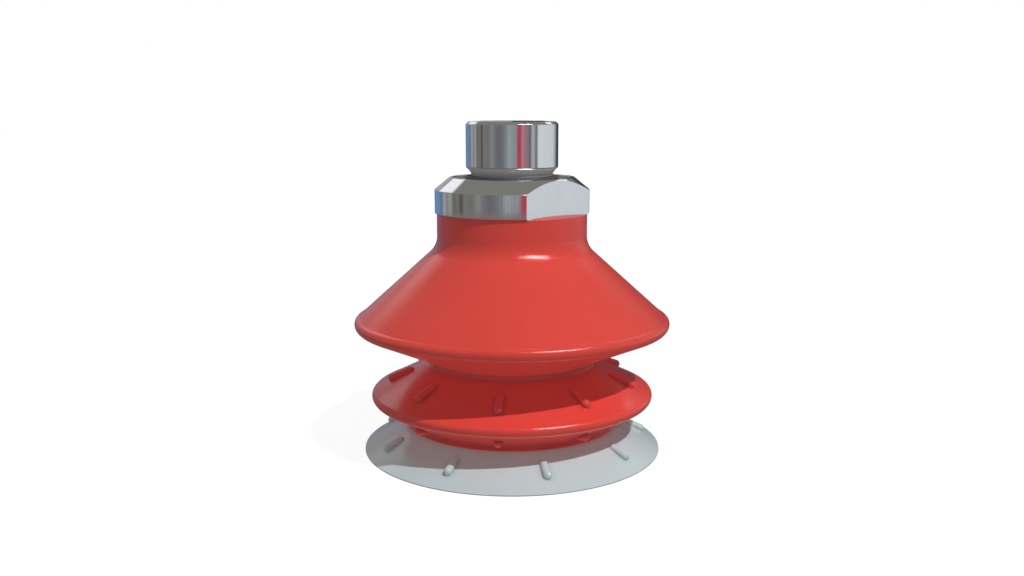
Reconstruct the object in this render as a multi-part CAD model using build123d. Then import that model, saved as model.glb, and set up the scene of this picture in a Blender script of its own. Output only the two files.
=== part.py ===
"""Vacuum suction cup: a bellows cup with two and a half folds, clamped under a turned metal fitting.

Frame: millimetres, origin at the centre of the plane that the sealing lip rests on, +Z up the axis
to the threaded nipple. Everything but the wrench flats, the cleats and the circlip is turned about Z.

The bellows is one elastomer moulding, red and firm above, grey and soft at the lip. It is divided
here along its folds, into rings that keep their shape and walls that bend between them.
"""

import os
from math import atan2, cos, degrees, hypot, radians, sin, tan

from build123d import *

# Heights above the lip's contact plane
TOTAL_HEIGHT = 60.0
COLLAR_BOTTOM_Z = 43.5
COLLAR_TOP_Z = 50.0
LIP_TOP_Z = 4.93

# Fitting: a nipple on a collar with two wrench flats, and a spigot that goes into the bellows
NIPPLE_R = 8.331
NIPPLE_CHAMFER = 0.8
NIPPLE_BASE_Z = 52.0
UNDERCUT_R = 7.4
UNDERCUT_TOP_Z = 50.6
PORT_R = 4.4
PORT_DEPTH = 10.0
PORT_CHAMFER = 0.6
PASSAGE_R = 3.5
COLLAR_R = 14.02
COLLAR_LAND_R = 11.3
COLLAR_CHAMFER_Z = 47.8
COLLAR_EDGE_CHAMFER = 0.3
FLATS_WIDTH = 23.0
FLATS_ANGLE = -45.0
SEAL_RECESS_R = 10.6
SEAL_RECESS_DEPTH = 0.8
SPIGOT_R = 9.5
SPIGOT_BOTTOM_Z = 39.8
SCREW_THREAD_R = 6.6
SCREW_THREAD_TOP_Z = 47.0
NECK_GROOVE_R = 8.5
NECK_GROOVE_Z = (41.2, 42.6)

# Seals
THREAD_SEAL_SECTION_R = 0.55
NECK_SEAL_SECTION_R = 0.5

# Clamp washer, hollow clamp screw and inlet filter, stacked upwards from the screw's lower face
SCREW_BOTTOM_Z = 35.2
SCREW_HEAD_R = 9.0
SCREW_HEAD_CHAMFER = 0.5
SCREW_TOP_Z = 46.6
SCREW_BORE_R = 4.0
SCREW_SOCKET_TOP_Z = 41.0
THREAD_CLEARANCE = 0.05
WASHER_R = 11.7
WASHER_BORE_R = 6.7
WASHER_Z = (37.8, 39.0)
FILTER_SEAT_R = 7.4
FILTER_SEAT_Z = 36.7
FILTER_RIM_R = (5.9, 7.3)
FILTER_RIM_HEIGHT = 0.75
FILTER_MESH_R = 6.58
FILTER_MESH_Z = (36.3, 36.5)
FILTER_SLOT_R = 6.6
CIRCLIP_GROOVE_R = 7.8
CIRCLIP_GROOVE_Z = (35.45, 35.95)
CIRCLIP_R = (6.7, 7.75)
CIRCLIP_Z = (35.5, 35.9)
CIRCLIP_GAP = 3.0
CIRCLIP_LUG_R = 0.9
CIRCLIP_LUG_HOLE_R = 0.4

# Bellows neck
NECK_R = 13.66
NECK_BORE_R = 9.6
NECK_CORNER_Z = 37.63
NECK_FILLET = 4.1
NECK_POCKET_R = 11.9
NECK_SPLIT_Z = 38.2

# Rims: outermost radius and height, radii of the bead above and below it, where the bead's top
# starts (degrees above the horizontal) and the slope of the return wall below (degrees)
UPPER_RIM = dict(r=28.88, z=23.69, above=1.07, below=1.31, start=80.0, slope=23.5)
LOWER_RIM = dict(r=26.0, z=10.17, above=1.0, below=1.14, start=80.0, slope=27.2)
EDGE_R = 19.72

# Waist: the walls above and below it aim at the same circle, but end at a short upright band
UPPER_WAIST_R = 14.3
WAIST_BAND_R = 15.4
WAIST_BAND_FILLET = 0.25
LOWER_WAIST_R = 19.0
LOWER_WAIST_FILLET = 0.5

# Wall thicknesses from the neck down, and the inside of the bellows
UPPER_CONE_T = 2.2
UPPER_RETURN_T = 1.8
LOWER_CONE_T = 1.8
LOWER_RETURN_T = 1.6
WAIST_BORE_R = 13.0
CARRIER_BORE_R = 17.4
INNER_FILLET = 0.8
SMALL_FILLET = 0.2

# Where rings end and walls begin
UPPER_BEAD_SPLIT_R = 26.6
UPPER_FOLD_SPLIT_Z = 23.6
WAIST_SPLIT_R = 16.2
LOWER_BEAD_SPLIT_R = 24.2
LOWER_FOLD_SPLIT_Z = 10.0
CARRIER_SPLIT_R = 19.6
CARRIER_SPLIT_Z = 6.0
LIP_SPLIT_R = 25.0

# Lip
LIP_R = 27.47
LIP_EDGE_T = 0.16
LIP_KNEE = (21.77, 3.38)
LIP_KNEE_FILLET = 5.0
LIP_INNER_KNEE = (20.9, 2.1)
LIP_INNER_TOP_Z = 3.9
LIP_LAND_R = 26.3

# Cleats: round ribs that lie along a wall and stand further out of it at their outer end
CLEAT_COUNT = 9
CLEAT_ANGLE = -96.0
LOWER_CONE_CLEAT = dict(radius=0.75, inner_r=18.87, outer_r=22.3, inner_rise=0.0, outer_rise=0.36)
LIP_CLEAT = dict(radius=0.75, inner_r=22.05, outer_r=24.4, inner_rise=0.0, outer_rise=0.33)
RETURN_CLEAT = dict(radius=0.75, inner_r=20.6, outer_r=22.3, inner_rise=0.2, outer_rise=-0.36)


def turned(outline):
    """Solid of revolution about Z from a closed outline of (radius, height)."""
    return revolve(Plane.XZ * make_face(outline), Axis.Z)


def closed(*points):
    """Closed straight-sided outline."""
    return Polyline(*points, close=True)


def tube(inner_r, outer_r, bottom_z, top_z):
    """Plain ring."""
    return turned(closed((inner_r, bottom_z), (outer_r, bottom_z), (outer_r, top_z), (inner_r, top_z)))


def o_ring(major_r, section_r, centre_z):
    """Torus about Z."""
    return Pos(0, 0, centre_z) * Torus(major_r, section_r)


def polar(centre, radius, angle):
    """Point at an angle in degrees from a centre, in the (radius, height) plane."""
    return (centre[0] + radius * cos(radians(angle)), centre[1] + radius * sin(radians(angle)))


def bead(rim):
    """Outline of a rim's bead from the end of its cone to the start of its return wall."""
    upper = (rim["r"] - rim["above"], rim["z"])
    lower = (rim["r"] - rim["below"], rim["z"])
    top = polar(upper, rim["above"], rim["start"])
    nose = (rim["r"], rim["z"])
    end_angle = rim["slope"] - 90
    end = polar(lower, rim["below"], end_angle)
    over = ThreePointArc(top, polar(upper, rim["above"], rim["start"] / 2), nose)
    under = ThreePointArc(nose, polar(lower, rim["below"], end_angle / 2), end)
    return over, under, top, end


def foot(rim, end, waist_r):
    """Where a rim's return wall reaches the waist below it."""
    return (waist_r, end[1] - (end[0] - waist_r) * tan(radians(rim["slope"])))


def inner_face(start, end, thickness):
    """Line of a wall's inner face, as a point and a unit direction; the outer face runs downwards."""
    run = (end[0] - start[0], end[1] - start[1])
    length = hypot(*run)
    along = (run[0] / length, run[1] / length)
    return (start[0] + along[1] * thickness, start[1] - along[0] * thickness), along


def meet(first, second):
    """Crossing point of two lines."""
    (p, a), (q, b) = first, second
    cross = a[0] * b[1] - a[1] * b[0]
    step = ((q[0] - p[0]) * b[1] - (q[1] - p[1]) * b[0]) / cross
    return (p[0] + a[0] * step, p[1] + a[1] * step)


def at_radius(line, radius):
    """Point of a line at a given radius."""
    (r, z), (dr, dz) = line
    return (radius, z + (radius - r) * dz / dr)


def wall_line(start, end):
    """Point and direction of a wall's outer face."""
    return start, (end[0] - start[0], end[1] - start[1])


# Corners that the outline, the splits and the cleats share
UPPER_OVER, UPPER_UNDER, UPPER_BEAD_TOP, UPPER_BEAD_END = bead(UPPER_RIM)
LOWER_OVER, LOWER_UNDER, LOWER_BEAD_TOP, LOWER_BEAD_END = bead(LOWER_RIM)
NECK_CORNER = (NECK_R, NECK_CORNER_Z)
UPPER_WAIST = foot(UPPER_RIM, UPPER_BEAD_END, UPPER_WAIST_R)
LOWER_WAIST = foot(LOWER_RIM, LOWER_BEAD_END, LOWER_WAIST_R)
EDGE = (EDGE_R, LIP_TOP_Z)


def red_section():
    """Whole cross-section of the red part of the bellows, from the collar to the lip."""
    upper_cone = inner_face(NECK_CORNER, UPPER_BEAD_TOP, UPPER_CONE_T)
    upper_return = inner_face(UPPER_BEAD_END, UPPER_WAIST, UPPER_RETURN_T)
    lower_cone = inner_face(UPPER_WAIST, LOWER_BEAD_TOP, LOWER_CONE_T)
    lower_return = inner_face(LOWER_BEAD_END, LOWER_WAIST, LOWER_RETURN_T)
    neck = FilletPolyline((NECK_R, COLLAR_BOTTOM_Z), NECK_CORNER, UPPER_BEAD_TOP, radius=NECK_FILLET)
    band_top = at_radius(wall_line(UPPER_BEAD_END, UPPER_WAIST), WAIST_BAND_R)
    band_foot = at_radius(wall_line(UPPER_WAIST, LOWER_BEAD_TOP), WAIST_BAND_R)
    waist = FilletPolyline(UPPER_BEAD_END, band_top, band_foot, LOWER_BEAD_TOP, radius=WAIST_BAND_FILLET)
    edge = FilletPolyline(LOWER_BEAD_END, LOWER_WAIST, EDGE, radius=LOWER_WAIST_FILLET)
    inside = FilletPolyline(
        EDGE,
        (CARRIER_BORE_R, LIP_TOP_Z),
        at_radius(lower_return, CARRIER_BORE_R),
        meet(lower_cone, lower_return),
        at_radius(lower_cone, WAIST_BORE_R),
        at_radius(upper_return, WAIST_BORE_R),
        meet(upper_cone, upper_return),
        at_radius(upper_cone, NECK_POCKET_R),
        (NECK_POCKET_R, WASHER_Z[1]),
        (NECK_BORE_R, WASHER_Z[1]),
        (NECK_BORE_R, COLLAR_BOTTOM_Z),
        (NECK_R, COLLAR_BOTTOM_Z),
        radius=[
            SMALL_FILLET,
            SMALL_FILLET,
            INNER_FILLET,
            INNER_FILLET,
            INNER_FILLET,
            INNER_FILLET,
            SMALL_FILLET,
            SMALL_FILLET,
            SMALL_FILLET,
            SMALL_FILLET,
        ],
    )
    return make_face([neck, UPPER_OVER, UPPER_UNDER, waist, LOWER_OVER, LOWER_UNDER, edge, inside])


def lip_section():
    """Whole cross-section of the grey lip."""
    outside = FilletPolyline(EDGE, LIP_KNEE, (LIP_R, LIP_EDGE_T), radius=LIP_KNEE_FILLET)
    inside = Polyline(
        (LIP_R, LIP_EDGE_T),
        (LIP_R, 0),
        (LIP_LAND_R, 0),
        LIP_INNER_KNEE,
        (CARRIER_BORE_R, LIP_INNER_TOP_Z),
        (CARRIER_BORE_R, LIP_TOP_Z),
        EDGE,
    )
    return make_face([outside, inside])


def zone(inner_r, outer_r, bottom_z, top_z):
    """Rectangle in the (radius, height) plane that picks one stretch of a cross-section."""
    centre = Pos((inner_r + outer_r) / 2, (bottom_z + top_z) / 2)
    return centre * Rectangle(outer_r - inner_r, top_z - bottom_z)


def stretch(section, *zones):
    """Turned solid of the part of a cross-section that lies in the zones."""
    picked = zones[0]
    for extra in zones[1:]:
        picked += extra
    return revolve(Plane.XZ * (section & picked), Axis.Z)


def cleats(cleat, line, start_angle):
    """Ring of round ribs along a wall, each with two domed ends; line is the wall's outer face."""
    inner = at_radius(line, cleat["inner_r"])
    outer = at_radius(line, cleat["outer_r"])
    low = (inner[0], inner[1] + cleat["inner_rise"])
    high = (outer[0], outer[1] + cleat["outer_rise"])
    length = hypot(high[0] - low[0], high[1] - low[1])
    lean = degrees(atan2(high[0] - low[0], high[1] - low[1]))
    rod = Cylinder(cleat["radius"], length, align=(Align.CENTER, Align.CENTER, Align.MIN))
    rib = Pos(low[0], 0, low[1]) * Rot(0, lean, 0) * rod
    rib += Pos(low[0], 0, low[1]) * Sphere(cleat["radius"])
    rib += Pos(high[0], 0, high[1]) * Sphere(cleat["radius"])
    pitch = 360 / CLEAT_COUNT
    return [Rot(0, 0, start_angle + pitch * index) * rib for index in range(CLEAT_COUNT)]


def fitting_body():
    """Nipple, collar and spigot, turned from one bar, with the port bored through."""
    recess_z = COLLAR_TOP_Z - SEAL_RECESS_DEPTH
    port_bottom_z = TOTAL_HEIGHT - PORT_DEPTH
    body = turned(
        closed(
            (PORT_R + PORT_CHAMFER, TOTAL_HEIGHT),
            (NIPPLE_R - NIPPLE_CHAMFER, TOTAL_HEIGHT),
            (NIPPLE_R, TOTAL_HEIGHT - NIPPLE_CHAMFER),
            (NIPPLE_R, NIPPLE_BASE_Z),
            (UNDERCUT_R, UNDERCUT_TOP_Z),
            (UNDERCUT_R, recess_z),
            (SEAL_RECESS_R, recess_z),
            (SEAL_RECESS_R, COLLAR_TOP_Z),
            (COLLAR_LAND_R, COLLAR_TOP_Z),
            (COLLAR_R, COLLAR_CHAMFER_Z),
            (COLLAR_R, COLLAR_BOTTOM_Z + COLLAR_EDGE_CHAMFER),
            (COLLAR_R - COLLAR_EDGE_CHAMFER, COLLAR_BOTTOM_Z),
            (SPIGOT_R, COLLAR_BOTTOM_Z),
            (SPIGOT_R, NECK_GROOVE_Z[1]),
            (NECK_GROOVE_R, NECK_GROOVE_Z[1]),
            (NECK_GROOVE_R, NECK_GROOVE_Z[0]),
            (SPIGOT_R, NECK_GROOVE_Z[0]),
            (SPIGOT_R, SPIGOT_BOTTOM_Z),
            (SCREW_THREAD_R, SPIGOT_BOTTOM_Z),
            (SCREW_THREAD_R, SCREW_THREAD_TOP_Z),
            (PASSAGE_R, SCREW_THREAD_TOP_Z),
            (PASSAGE_R, port_bottom_z),
            (PORT_R, port_bottom_z),
            (PORT_R, TOTAL_HEIGHT - PORT_CHAMFER),
        )
    )
    collar_height = COLLAR_TOP_Z - COLLAR_BOTTOM_Z
    cutter = Box(COLLAR_R, 2 * COLLAR_R, collar_height, align=(Align.MIN, Align.CENTER, Align.MIN))
    for turn in (0, 180):
        body -= Rot(0, 0, FLATS_ANGLE + turn) * Pos(FLATS_WIDTH / 2, 0, COLLAR_BOTTOM_Z) * cutter
    return body


def thread_seal_ring():
    """Face seal at the root of the nipple, in the collar's recess."""
    centre_z = COLLAR_TOP_Z - SEAL_RECESS_DEPTH + THREAD_SEAL_SECTION_R
    return o_ring(UNDERCUT_R + THREAD_SEAL_SECTION_R, THREAD_SEAL_SECTION_R, centre_z)


def neck_seal_ring():
    """Seal between the spigot and the bellows neck, in the spigot's groove."""
    return o_ring(NECK_GROOVE_R + NECK_SEAL_SECTION_R, NECK_SEAL_SECTION_R, sum(NECK_GROOVE_Z) / 2)


def clamp_screw():
    """Hollow screw that pulls the washer up against the bellows neck; its head holds the filter."""
    shank_r = SCREW_THREAD_R - THREAD_CLEARANCE
    seat_z = WASHER_Z[0]
    screw = turned(
        closed(
            (FILTER_SEAT_R, SCREW_BOTTOM_Z),
            (SCREW_HEAD_R - SCREW_HEAD_CHAMFER, SCREW_BOTTOM_Z),
            (SCREW_HEAD_R, SCREW_BOTTOM_Z + SCREW_HEAD_CHAMFER),
            (SCREW_HEAD_R, seat_z),
            (shank_r, seat_z),
            (shank_r, SCREW_TOP_Z),
            (SCREW_BORE_R, SCREW_TOP_Z),
            (SCREW_BORE_R, FILTER_SEAT_Z),
            (FILTER_SEAT_R, FILTER_SEAT_Z),
            (FILTER_SEAT_R, CIRCLIP_GROOVE_Z[1]),
            (CIRCLIP_GROOVE_R, CIRCLIP_GROOVE_Z[1]),
            (CIRCLIP_GROOVE_R, CIRCLIP_GROOVE_Z[0]),
            (FILTER_SEAT_R, CIRCLIP_GROOVE_Z[0]),
        )
    )
    hexagon = RegularPolygon(SCREW_BORE_R, 6, major_radius=False)
    socket = extrude(hexagon, SCREW_SOCKET_TOP_Z - FILTER_SEAT_Z)
    return screw - Pos(0, 0, FILTER_SEAT_Z) * socket


def clamp_washer():
    """Flat washer under the bellows neck."""
    return tube(WASHER_BORE_R, WASHER_R, *WASHER_Z)


def filter_mesh():
    """Woven mesh disc, as a thin plain disc."""
    height = FILTER_MESH_Z[1] - FILTER_MESH_Z[0]
    disc = Cylinder(FILTER_MESH_R, height, align=(Align.CENTER, Align.CENTER, Align.MIN))
    return Pos(0, 0, FILTER_MESH_Z[0]) * disc


def filter_rim():
    """Ring that holds the mesh in a slot."""
    bottom_z = FILTER_SEAT_Z - FILTER_RIM_HEIGHT
    ring = tube(*FILTER_RIM_R, bottom_z, FILTER_SEAT_Z)
    return ring - tube(0, FILTER_SLOT_R, *FILTER_MESH_Z)


def filter_circlip():
    """Internal circlip below the filter, with a gap and two lugs."""
    inner_r, outer_r = CIRCLIP_R
    height = CIRCLIP_Z[1] - CIRCLIP_Z[0]
    middle_z = sum(CIRCLIP_Z) / 2
    ring = tube(inner_r, outer_r, *CIRCLIP_Z)
    ring -= Pos(outer_r, 0, middle_z) * Box(outer_r, CIRCLIP_GAP, 2 * height)
    lug_turn = degrees(atan2(CIRCLIP_GAP / 2 + CIRCLIP_LUG_R, inner_r))
    lug_r = inner_r - CIRCLIP_LUG_R / 2
    lug = Cylinder(CIRCLIP_LUG_R, height) - Cylinder(CIRCLIP_LUG_HOLE_R, height)
    for turn in (lug_turn, -lug_turn):
        ring += Rot(0, 0, turn) * Pos(lug_r, 0, middle_z) * lug
    return ring


def rings(red, grey):
    """Stretches of the bellows that keep their shape, by name."""
    far = 2 * UPPER_RIM["r"]
    waist_z = UPPER_WAIST[1]
    return {
        "bellows_neck": stretch(red, zone(0, far, NECK_SPLIT_Z, COLLAR_BOTTOM_Z)),
        "upper_rim_bead": stretch(red, zone(UPPER_BEAD_SPLIT_R, far, waist_z, NECK_SPLIT_Z)),
        "waist_ring": stretch(red, zone(0, WAIST_SPLIT_R, LOWER_RIM["z"], UPPER_FOLD_SPLIT_Z)),
        "lower_rim_bead": stretch(red, zone(LOWER_BEAD_SPLIT_R, far, LIP_TOP_Z, waist_z)),
        "lip_carrier_ring": stretch(
            red,
            zone(0, CARRIER_SPLIT_R, LIP_TOP_Z, LOWER_RIM["z"]),
            zone(0, far, LIP_TOP_Z, CARRIER_SPLIT_Z),
        ),
        "lip_edge": stretch(grey, zone(LIP_SPLIT_R, far, 0, LIP_TOP_Z)),
    }


def walls(red, grey):
    """Stretches of the bellows that bend, by name, the lower three with their cleats."""
    waist_z = UPPER_WAIST[1]
    upper_cone = zone(0, UPPER_BEAD_SPLIT_R, UPPER_FOLD_SPLIT_Z, NECK_SPLIT_Z)
    upper_return = zone(WAIST_SPLIT_R, UPPER_BEAD_SPLIT_R, waist_z, UPPER_FOLD_SPLIT_Z)
    lower_cone = zone(WAIST_SPLIT_R, LOWER_BEAD_SPLIT_R, LOWER_FOLD_SPLIT_Z, waist_z)
    lower_return = zone(CARRIER_SPLIT_R, LOWER_BEAD_SPLIT_R, CARRIER_SPLIT_Z, LOWER_FOLD_SPLIT_Z)
    lip = zone(0, LIP_SPLIT_R, 0, LIP_TOP_Z)
    cone_line = wall_line(UPPER_WAIST, LOWER_BEAD_TOP)
    return_line = wall_line(LOWER_WAIST, LOWER_BEAD_END)
    lip_line = wall_line(LIP_KNEE, (LIP_R, LIP_EDGE_T))
    lip_angle = CLEAT_ANGLE + 180 / CLEAT_COUNT
    cone_cleats = cleats(LOWER_CONE_CLEAT, cone_line, CLEAT_ANGLE)
    return_cleats = cleats(RETURN_CLEAT, return_line, CLEAT_ANGLE)
    lip_cleats = cleats(LIP_CLEAT, lip_line, lip_angle)
    return {
        "upper_cone_wall": stretch(red, upper_cone),
        "upper_return_wall": stretch(red, upper_return),
        "lower_cone_wall": stretch(red, lower_cone).fuse(*cone_cleats),
        "lower_return_wall": stretch(red, lower_return).fuse(*return_cleats),
        "lip_wall": stretch(grey, lip).fuse(*lip_cleats),
    }


def main():
    parts = {
        "fitting_body": fitting_body(),
        "thread_seal_ring": thread_seal_ring(),
        "neck_seal_ring": neck_seal_ring(),
        "clamp_screw": clamp_screw(),
        "clamp_washer": clamp_washer(),
        "filter_mesh": filter_mesh(),
        "filter_rim": filter_rim(),
        "filter_circlip": filter_circlip(),
    }
    red = red_section()
    grey = lip_section()
    parts.update(rings(red, grey))
    parts.update(walls(red, grey))
    os.makedirs("parts", exist_ok=True)
    for name, shape in parts.items():
        export_step(shape, f"parts/{name}.step")


main()
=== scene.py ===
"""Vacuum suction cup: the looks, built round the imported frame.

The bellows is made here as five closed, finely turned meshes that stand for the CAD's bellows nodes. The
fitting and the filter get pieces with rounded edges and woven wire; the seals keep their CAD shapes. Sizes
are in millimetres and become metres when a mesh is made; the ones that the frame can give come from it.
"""

import math

import bmesh
import bpy
import numpy as np
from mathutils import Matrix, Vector


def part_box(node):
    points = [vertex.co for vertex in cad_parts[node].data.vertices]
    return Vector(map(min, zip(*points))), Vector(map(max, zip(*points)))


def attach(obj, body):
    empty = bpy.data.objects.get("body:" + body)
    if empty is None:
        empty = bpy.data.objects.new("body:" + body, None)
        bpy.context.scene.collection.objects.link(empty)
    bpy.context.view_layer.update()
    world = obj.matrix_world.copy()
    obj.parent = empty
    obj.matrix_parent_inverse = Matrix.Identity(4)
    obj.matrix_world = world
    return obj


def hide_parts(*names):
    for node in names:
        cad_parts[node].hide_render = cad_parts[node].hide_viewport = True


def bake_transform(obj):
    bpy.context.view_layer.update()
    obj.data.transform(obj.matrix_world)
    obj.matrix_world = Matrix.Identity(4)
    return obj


MM = 0.001

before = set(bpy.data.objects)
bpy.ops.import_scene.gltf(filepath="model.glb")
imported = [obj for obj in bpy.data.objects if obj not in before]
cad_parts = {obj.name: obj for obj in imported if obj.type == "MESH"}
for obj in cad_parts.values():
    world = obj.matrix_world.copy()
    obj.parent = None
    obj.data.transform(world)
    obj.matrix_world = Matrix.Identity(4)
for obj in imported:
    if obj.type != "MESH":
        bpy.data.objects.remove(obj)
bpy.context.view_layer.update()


def top_of(node):
    """Height of a CAD node's top in millimetres."""
    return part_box(node)[1].z / MM


def bottom_of(node):
    """Height of a CAD node's bottom in millimetres."""
    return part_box(node)[0].z / MM


def radius_of(node):
    """Outer radius of a turned CAD node in millimetres."""
    low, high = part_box(node)
    return (high.x - low.x) / 2 / MM


# Fitting
TOTAL_HEIGHT = top_of("fitting_body")
COLLAR_BOTTOM_Z = top_of("bellows_neck")
COLLAR_R = radius_of("fitting_body")
COLLAR_TOP_Z = 50.0
COLLAR_LAND_R = 11.3
COLLAR_CHAMFER_Z = 47.8
FLATS_WIDTH = 23.0
FLATS_ANGLE = -45.0
NIPPLE_R = 8.331
NIPPLE_DROP = 0.15
NIPPLE_CHAMFER = 0.45
NIPPLE_BASE_ROUND = 0.4
NIPPLE_BASE_RUN = 1.0
RUN_OUT_LOW_Z = 50.3
RUN_OUT_HIGH_Z = 51.75
NIPPLE_BASE_Z = 51.8
UNDERCUT_R = 7.4
PORT_R = 4.4
PORT_DEPTH = 10.0
PORT_CHAMFER = 0.6
PORT_LAND = 0.5
PASSAGE_R = 3.5
SEAL_RECESS_R = 10.6
SEAL_RECESS_DEPTH = 0.8
SPIGOT_R = 9.5
SPIGOT_BOTTOM_Z = bottom_of("fitting_body")
SCREW_THREAD_R = 6.6
SCREW_THREAD_TOP_Z = 47.0
NECK_GROOVE_R = 8.5
NECK_GROOVE_Z = (41.2, 42.6)
METAL_EDGE = 0.12
CUTTER_MARGIN = 0.5

# Filter
MESH_R = radius_of("filter_mesh")
MESH_Z = (bottom_of("filter_mesh") + top_of("filter_mesh")) / 2
WIRE_R = 0.07
WIRE_PITCH = 0.62
WIRE_STEPS_PER_PITCH = 4
WIRE_SIDES = 6

# Bellows outline, from the neck down
NECK_R = 13.66
LIP_TOP_Z = top_of("lip_wall")
LIP_R = radius_of("lip_edge")
NECK_TOP_ROUND = 0.1
NECK_LAND = 0.5
NECK_BORE_R = 9.6
NECK_CORNER_Z = 37.63
NECK_FILLET = 4.1
NECK_POCKET_R = 11.9
NECK_SHELF_Z = top_of("clamp_washer")
UPPER_RIM = dict(r=radius_of("upper_rim_bead"), z=23.69, above=1.07, below=1.31, start=80.0, slope=23.5)
LOWER_RIM = dict(r=radius_of("lower_rim_bead"), z=10.17, above=1.0, below=1.14, start=80.0, slope=27.2)
UPPER_WAIST_R = 14.3
WAIST_BAND_R = 15.4
WAIST_BAND_FILLET = 0.25
LOWER_WAIST_R = 19.0
LOWER_WAIST_FILLET = 0.5
BEAD_ROOT_FILLET = 0.2
# Steps of a bead's arc that its root fillet takes the place of
BEAD_ROOT_STEPS = 4
EDGE_R = 19.72
UPPER_CONE_T = 2.2
UPPER_RETURN_T = 1.8
LOWER_CONE_T = 1.8
LOWER_RETURN_T = 1.6
WAIST_BORE_R = 13.0
CARRIER_BORE_R = 17.4
INNER_FILLET = 0.8
SMALL_FILLET = 0.2
LIP_EDGE_T = 0.16
LIP_KNEE = (21.77, 3.38)
LIP_KNEE_FILLET = 5.0
LIP_INNER_KNEE = (20.9, 2.1)
LIP_INNER_TOP_Z = 3.9
LIP_LAND_R = 26.3
LIP_EDGE_ROUND = 0.1
LIP_LAND_FILLET = 0.3
LIP_INNER_KNEE_FILLET = 2.0
LIP_INNER_TOP_FILLET = 0.5
LIP_BLEND_END_Z = 0.5

# Cleats: round ribs along a wall that rise towards their outer end
CLEAT_COUNT = 9
CLEAT_ANGLE = -96.0
CLEAT_PITCH = 360.0 / CLEAT_COUNT
LOWER_CONE_CLEAT = dict(radius=0.75, inner_r=18.87, outer_r=22.3, inner_rise=0.0, outer_rise=0.36)
LIP_CLEAT = dict(radius=0.75, inner_r=22.05, outer_r=24.4, inner_rise=0.0, outer_rise=0.33)
RETURN_CLEAT = dict(radius=0.75, inner_r=20.6, outer_r=22.3, inner_rise=0.2, outer_rise=-0.36)
CLEAT_MARGIN = 0.4
RIB_SIDES = 28
RIB_ARC_STEPS = 7

# Fineness of the turned meshes
ARC_STEP = 3.0
COARSE_STEP = 0.8
FINE_STEP = 0.3
METAL_COLUMNS = 288
SOFT_COLUMNS = 360
SHARP_ANGLE = 40.0
METAL_SHARP_ANGLE = 28.0
CARRIED_SHARP_ANGLE = 30.0

# Materials: noise scales are per metre, depths in metres
NOISE_LOW = 0.15
NOISE_HIGH = 0.85
DRIFT_SCALE = 90
SKIN_SCALE = 3500
SKIN_DEPTH = 0.0000009
MILKY_DEPTH = 0.0012
MILKY_COLOUR_REACH = (1.0, 0.5, 0.4)
# Painted shade in corners and creases: how far from a corner the elastomer is painted darker, and how much
CREVICE_REACH = 0.0012
CREVICE_SHADE = 0.44
CREVICE_LOW = 0.25
CREVICE_LEAST = 0.3
# Painted contact shade: the lip's sealing edge is painted darker up to this height, from below everything
RIM_PAINTED_SHADE_Z = 0.15
BELOW_ALL_Z = -1.0
RING_SCALE = 260
RING_STRETCH = 30
RING_DEPTH = 0.0000006
HAZE_SCALE = 400
POLISH_ROUGHNESS = (0.05, 0.09)
SPECKLE_SCALE = 3200
RUN_OUT_SHADES = (0.25, 0.62)
RUN_OUT_ROUGHNESS = 0.5
RUN_OUT_METAL = 0.15

# Camera and light
CAMERA_HEIGHT = 61.35
CAMERA_DISTANCE = 180.8
CAMERA_PITCH = 9.97
LENS = 35.0
SENSOR = 36.0
SUN_TOWARDS = (0.384, -0.420, 0.822)
SUN_STRENGTH = 2.1
SUN_ANGLE = 1.0
AMBIENT = 0.26
# Fills, as direction and strength: from below, as the white table does, and from the front
FILLS = (((0.0, -0.12, -0.99), 0.85), ((-0.4, -0.55, 0.73), 0.15))
FLOOR_SIZE = 6
FLOOR_SHADE = 0.12
FLOOR_GLOW = 0.93


# ---------------------------------------------------------------- outlines


def polar(centre, radius, angle):
    """Point at an angle in degrees from a centre, in the (radius, height) plane."""
    turn = math.radians(angle)
    return (centre[0] + radius * math.cos(turn), centre[1] + radius * math.sin(turn))


def arc(centre, radius, start, end):
    """Points of an arc, with no more than ARC_STEP degrees between them."""
    steps = max(2, math.ceil(abs(end - start) / ARC_STEP))
    return [polar(centre, radius, start + (end - start) * i / steps) for i in range(steps + 1)]


def rounded(*corners):
    """Points of a polyline whose corners (radius, height, fillet) are rounded."""
    points = [corners[0][:2]]
    for before, here, after in zip(corners, corners[1:], corners[2:]):
        points += fillet(before, here, after)
    return points + [corners[-1][:2]]


def fillet(before, here, after):
    """Points that round one corner."""
    corner = np.array(here[:2])
    back = np.array(before[:2]) - corner
    on = np.array(after[:2]) - corner
    back_length, on_length = np.linalg.norm(back), np.linalg.norm(on)
    back, on = back / back_length, on / on_length
    angle = math.acos(max(-1.0, min(1.0, float(back @ on))))
    if here[2] <= 0 or angle > math.radians(179):
        return [tuple(corner)]
    reach = min(here[2] / math.tan(angle / 2), 0.49 * back_length, 0.49 * on_length)
    radius = reach * math.tan(angle / 2)
    bisector = (back + on) / np.linalg.norm(back + on)
    centre = corner + bisector * radius / math.sin(angle / 2)
    first, last = corner + back * reach - centre, corner + on * reach - centre
    start = math.degrees(math.atan2(first[1], first[0]))
    turn = (math.degrees(math.atan2(last[1], last[0])) - start + 180) % 360 - 180
    return arc(centre, radius, start, start + turn)


def refine(points, step, fine=()):
    """Points with more between them, a step apart, or FINE_STEP inside the radius bands in fine."""
    result = []
    for a, b in zip(points, points[1:]):
        length = math.dist(a, b)
        cuts = sorted({0.0, *(band_cut(a, b, r) for band in fine for r in band)} - {None})
        for start, end in zip(cuts, cuts[1:] + [1.0]):
            middle = a[0] + (b[0] - a[0]) * (start + end) / 2
            inside = any(low <= middle <= high for low, high in fine)
            count = max(1, math.ceil(length * (end - start) / (FINE_STEP if inside else step)))
            for i in range(count):
                t = start + (end - start) * i / count
                result.append((a[0] + (b[0] - a[0]) * t, a[1] + (b[1] - a[1]) * t))
    return result + [points[-1]]


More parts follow.
